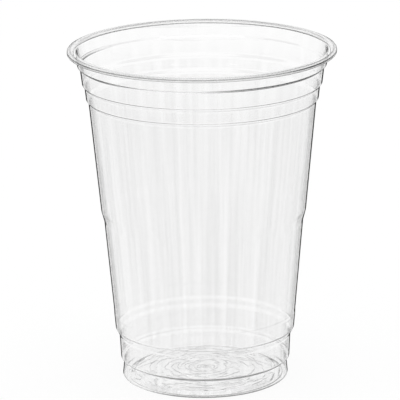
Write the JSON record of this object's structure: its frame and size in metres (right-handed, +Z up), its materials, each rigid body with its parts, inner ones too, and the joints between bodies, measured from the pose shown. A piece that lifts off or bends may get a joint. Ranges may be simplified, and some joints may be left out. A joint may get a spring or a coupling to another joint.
{
  "type": "plastic disposable cup",
  "caption": "Clear thermoformed cold-drink cup with a rolled rim, stacking rings, a stepped tapered wall, a shouldered lower band and a pushed-up base.",
  "frame": {"origin": "middle of the foot, on the surface that the cup stands on", "axes": "+Z up along the cup's axis, from the foot to the rim; the cup is round, so X and Y are any two directions across it"},
  "size_m": [0.098, 0.098, 0.1241],
  "materials": {
    "clear_pet": "clear, glossy, thermoformed"
  },
  "bodies": {
    "root": {"cup": "clear_pet"}
  },
  "joints": []
}
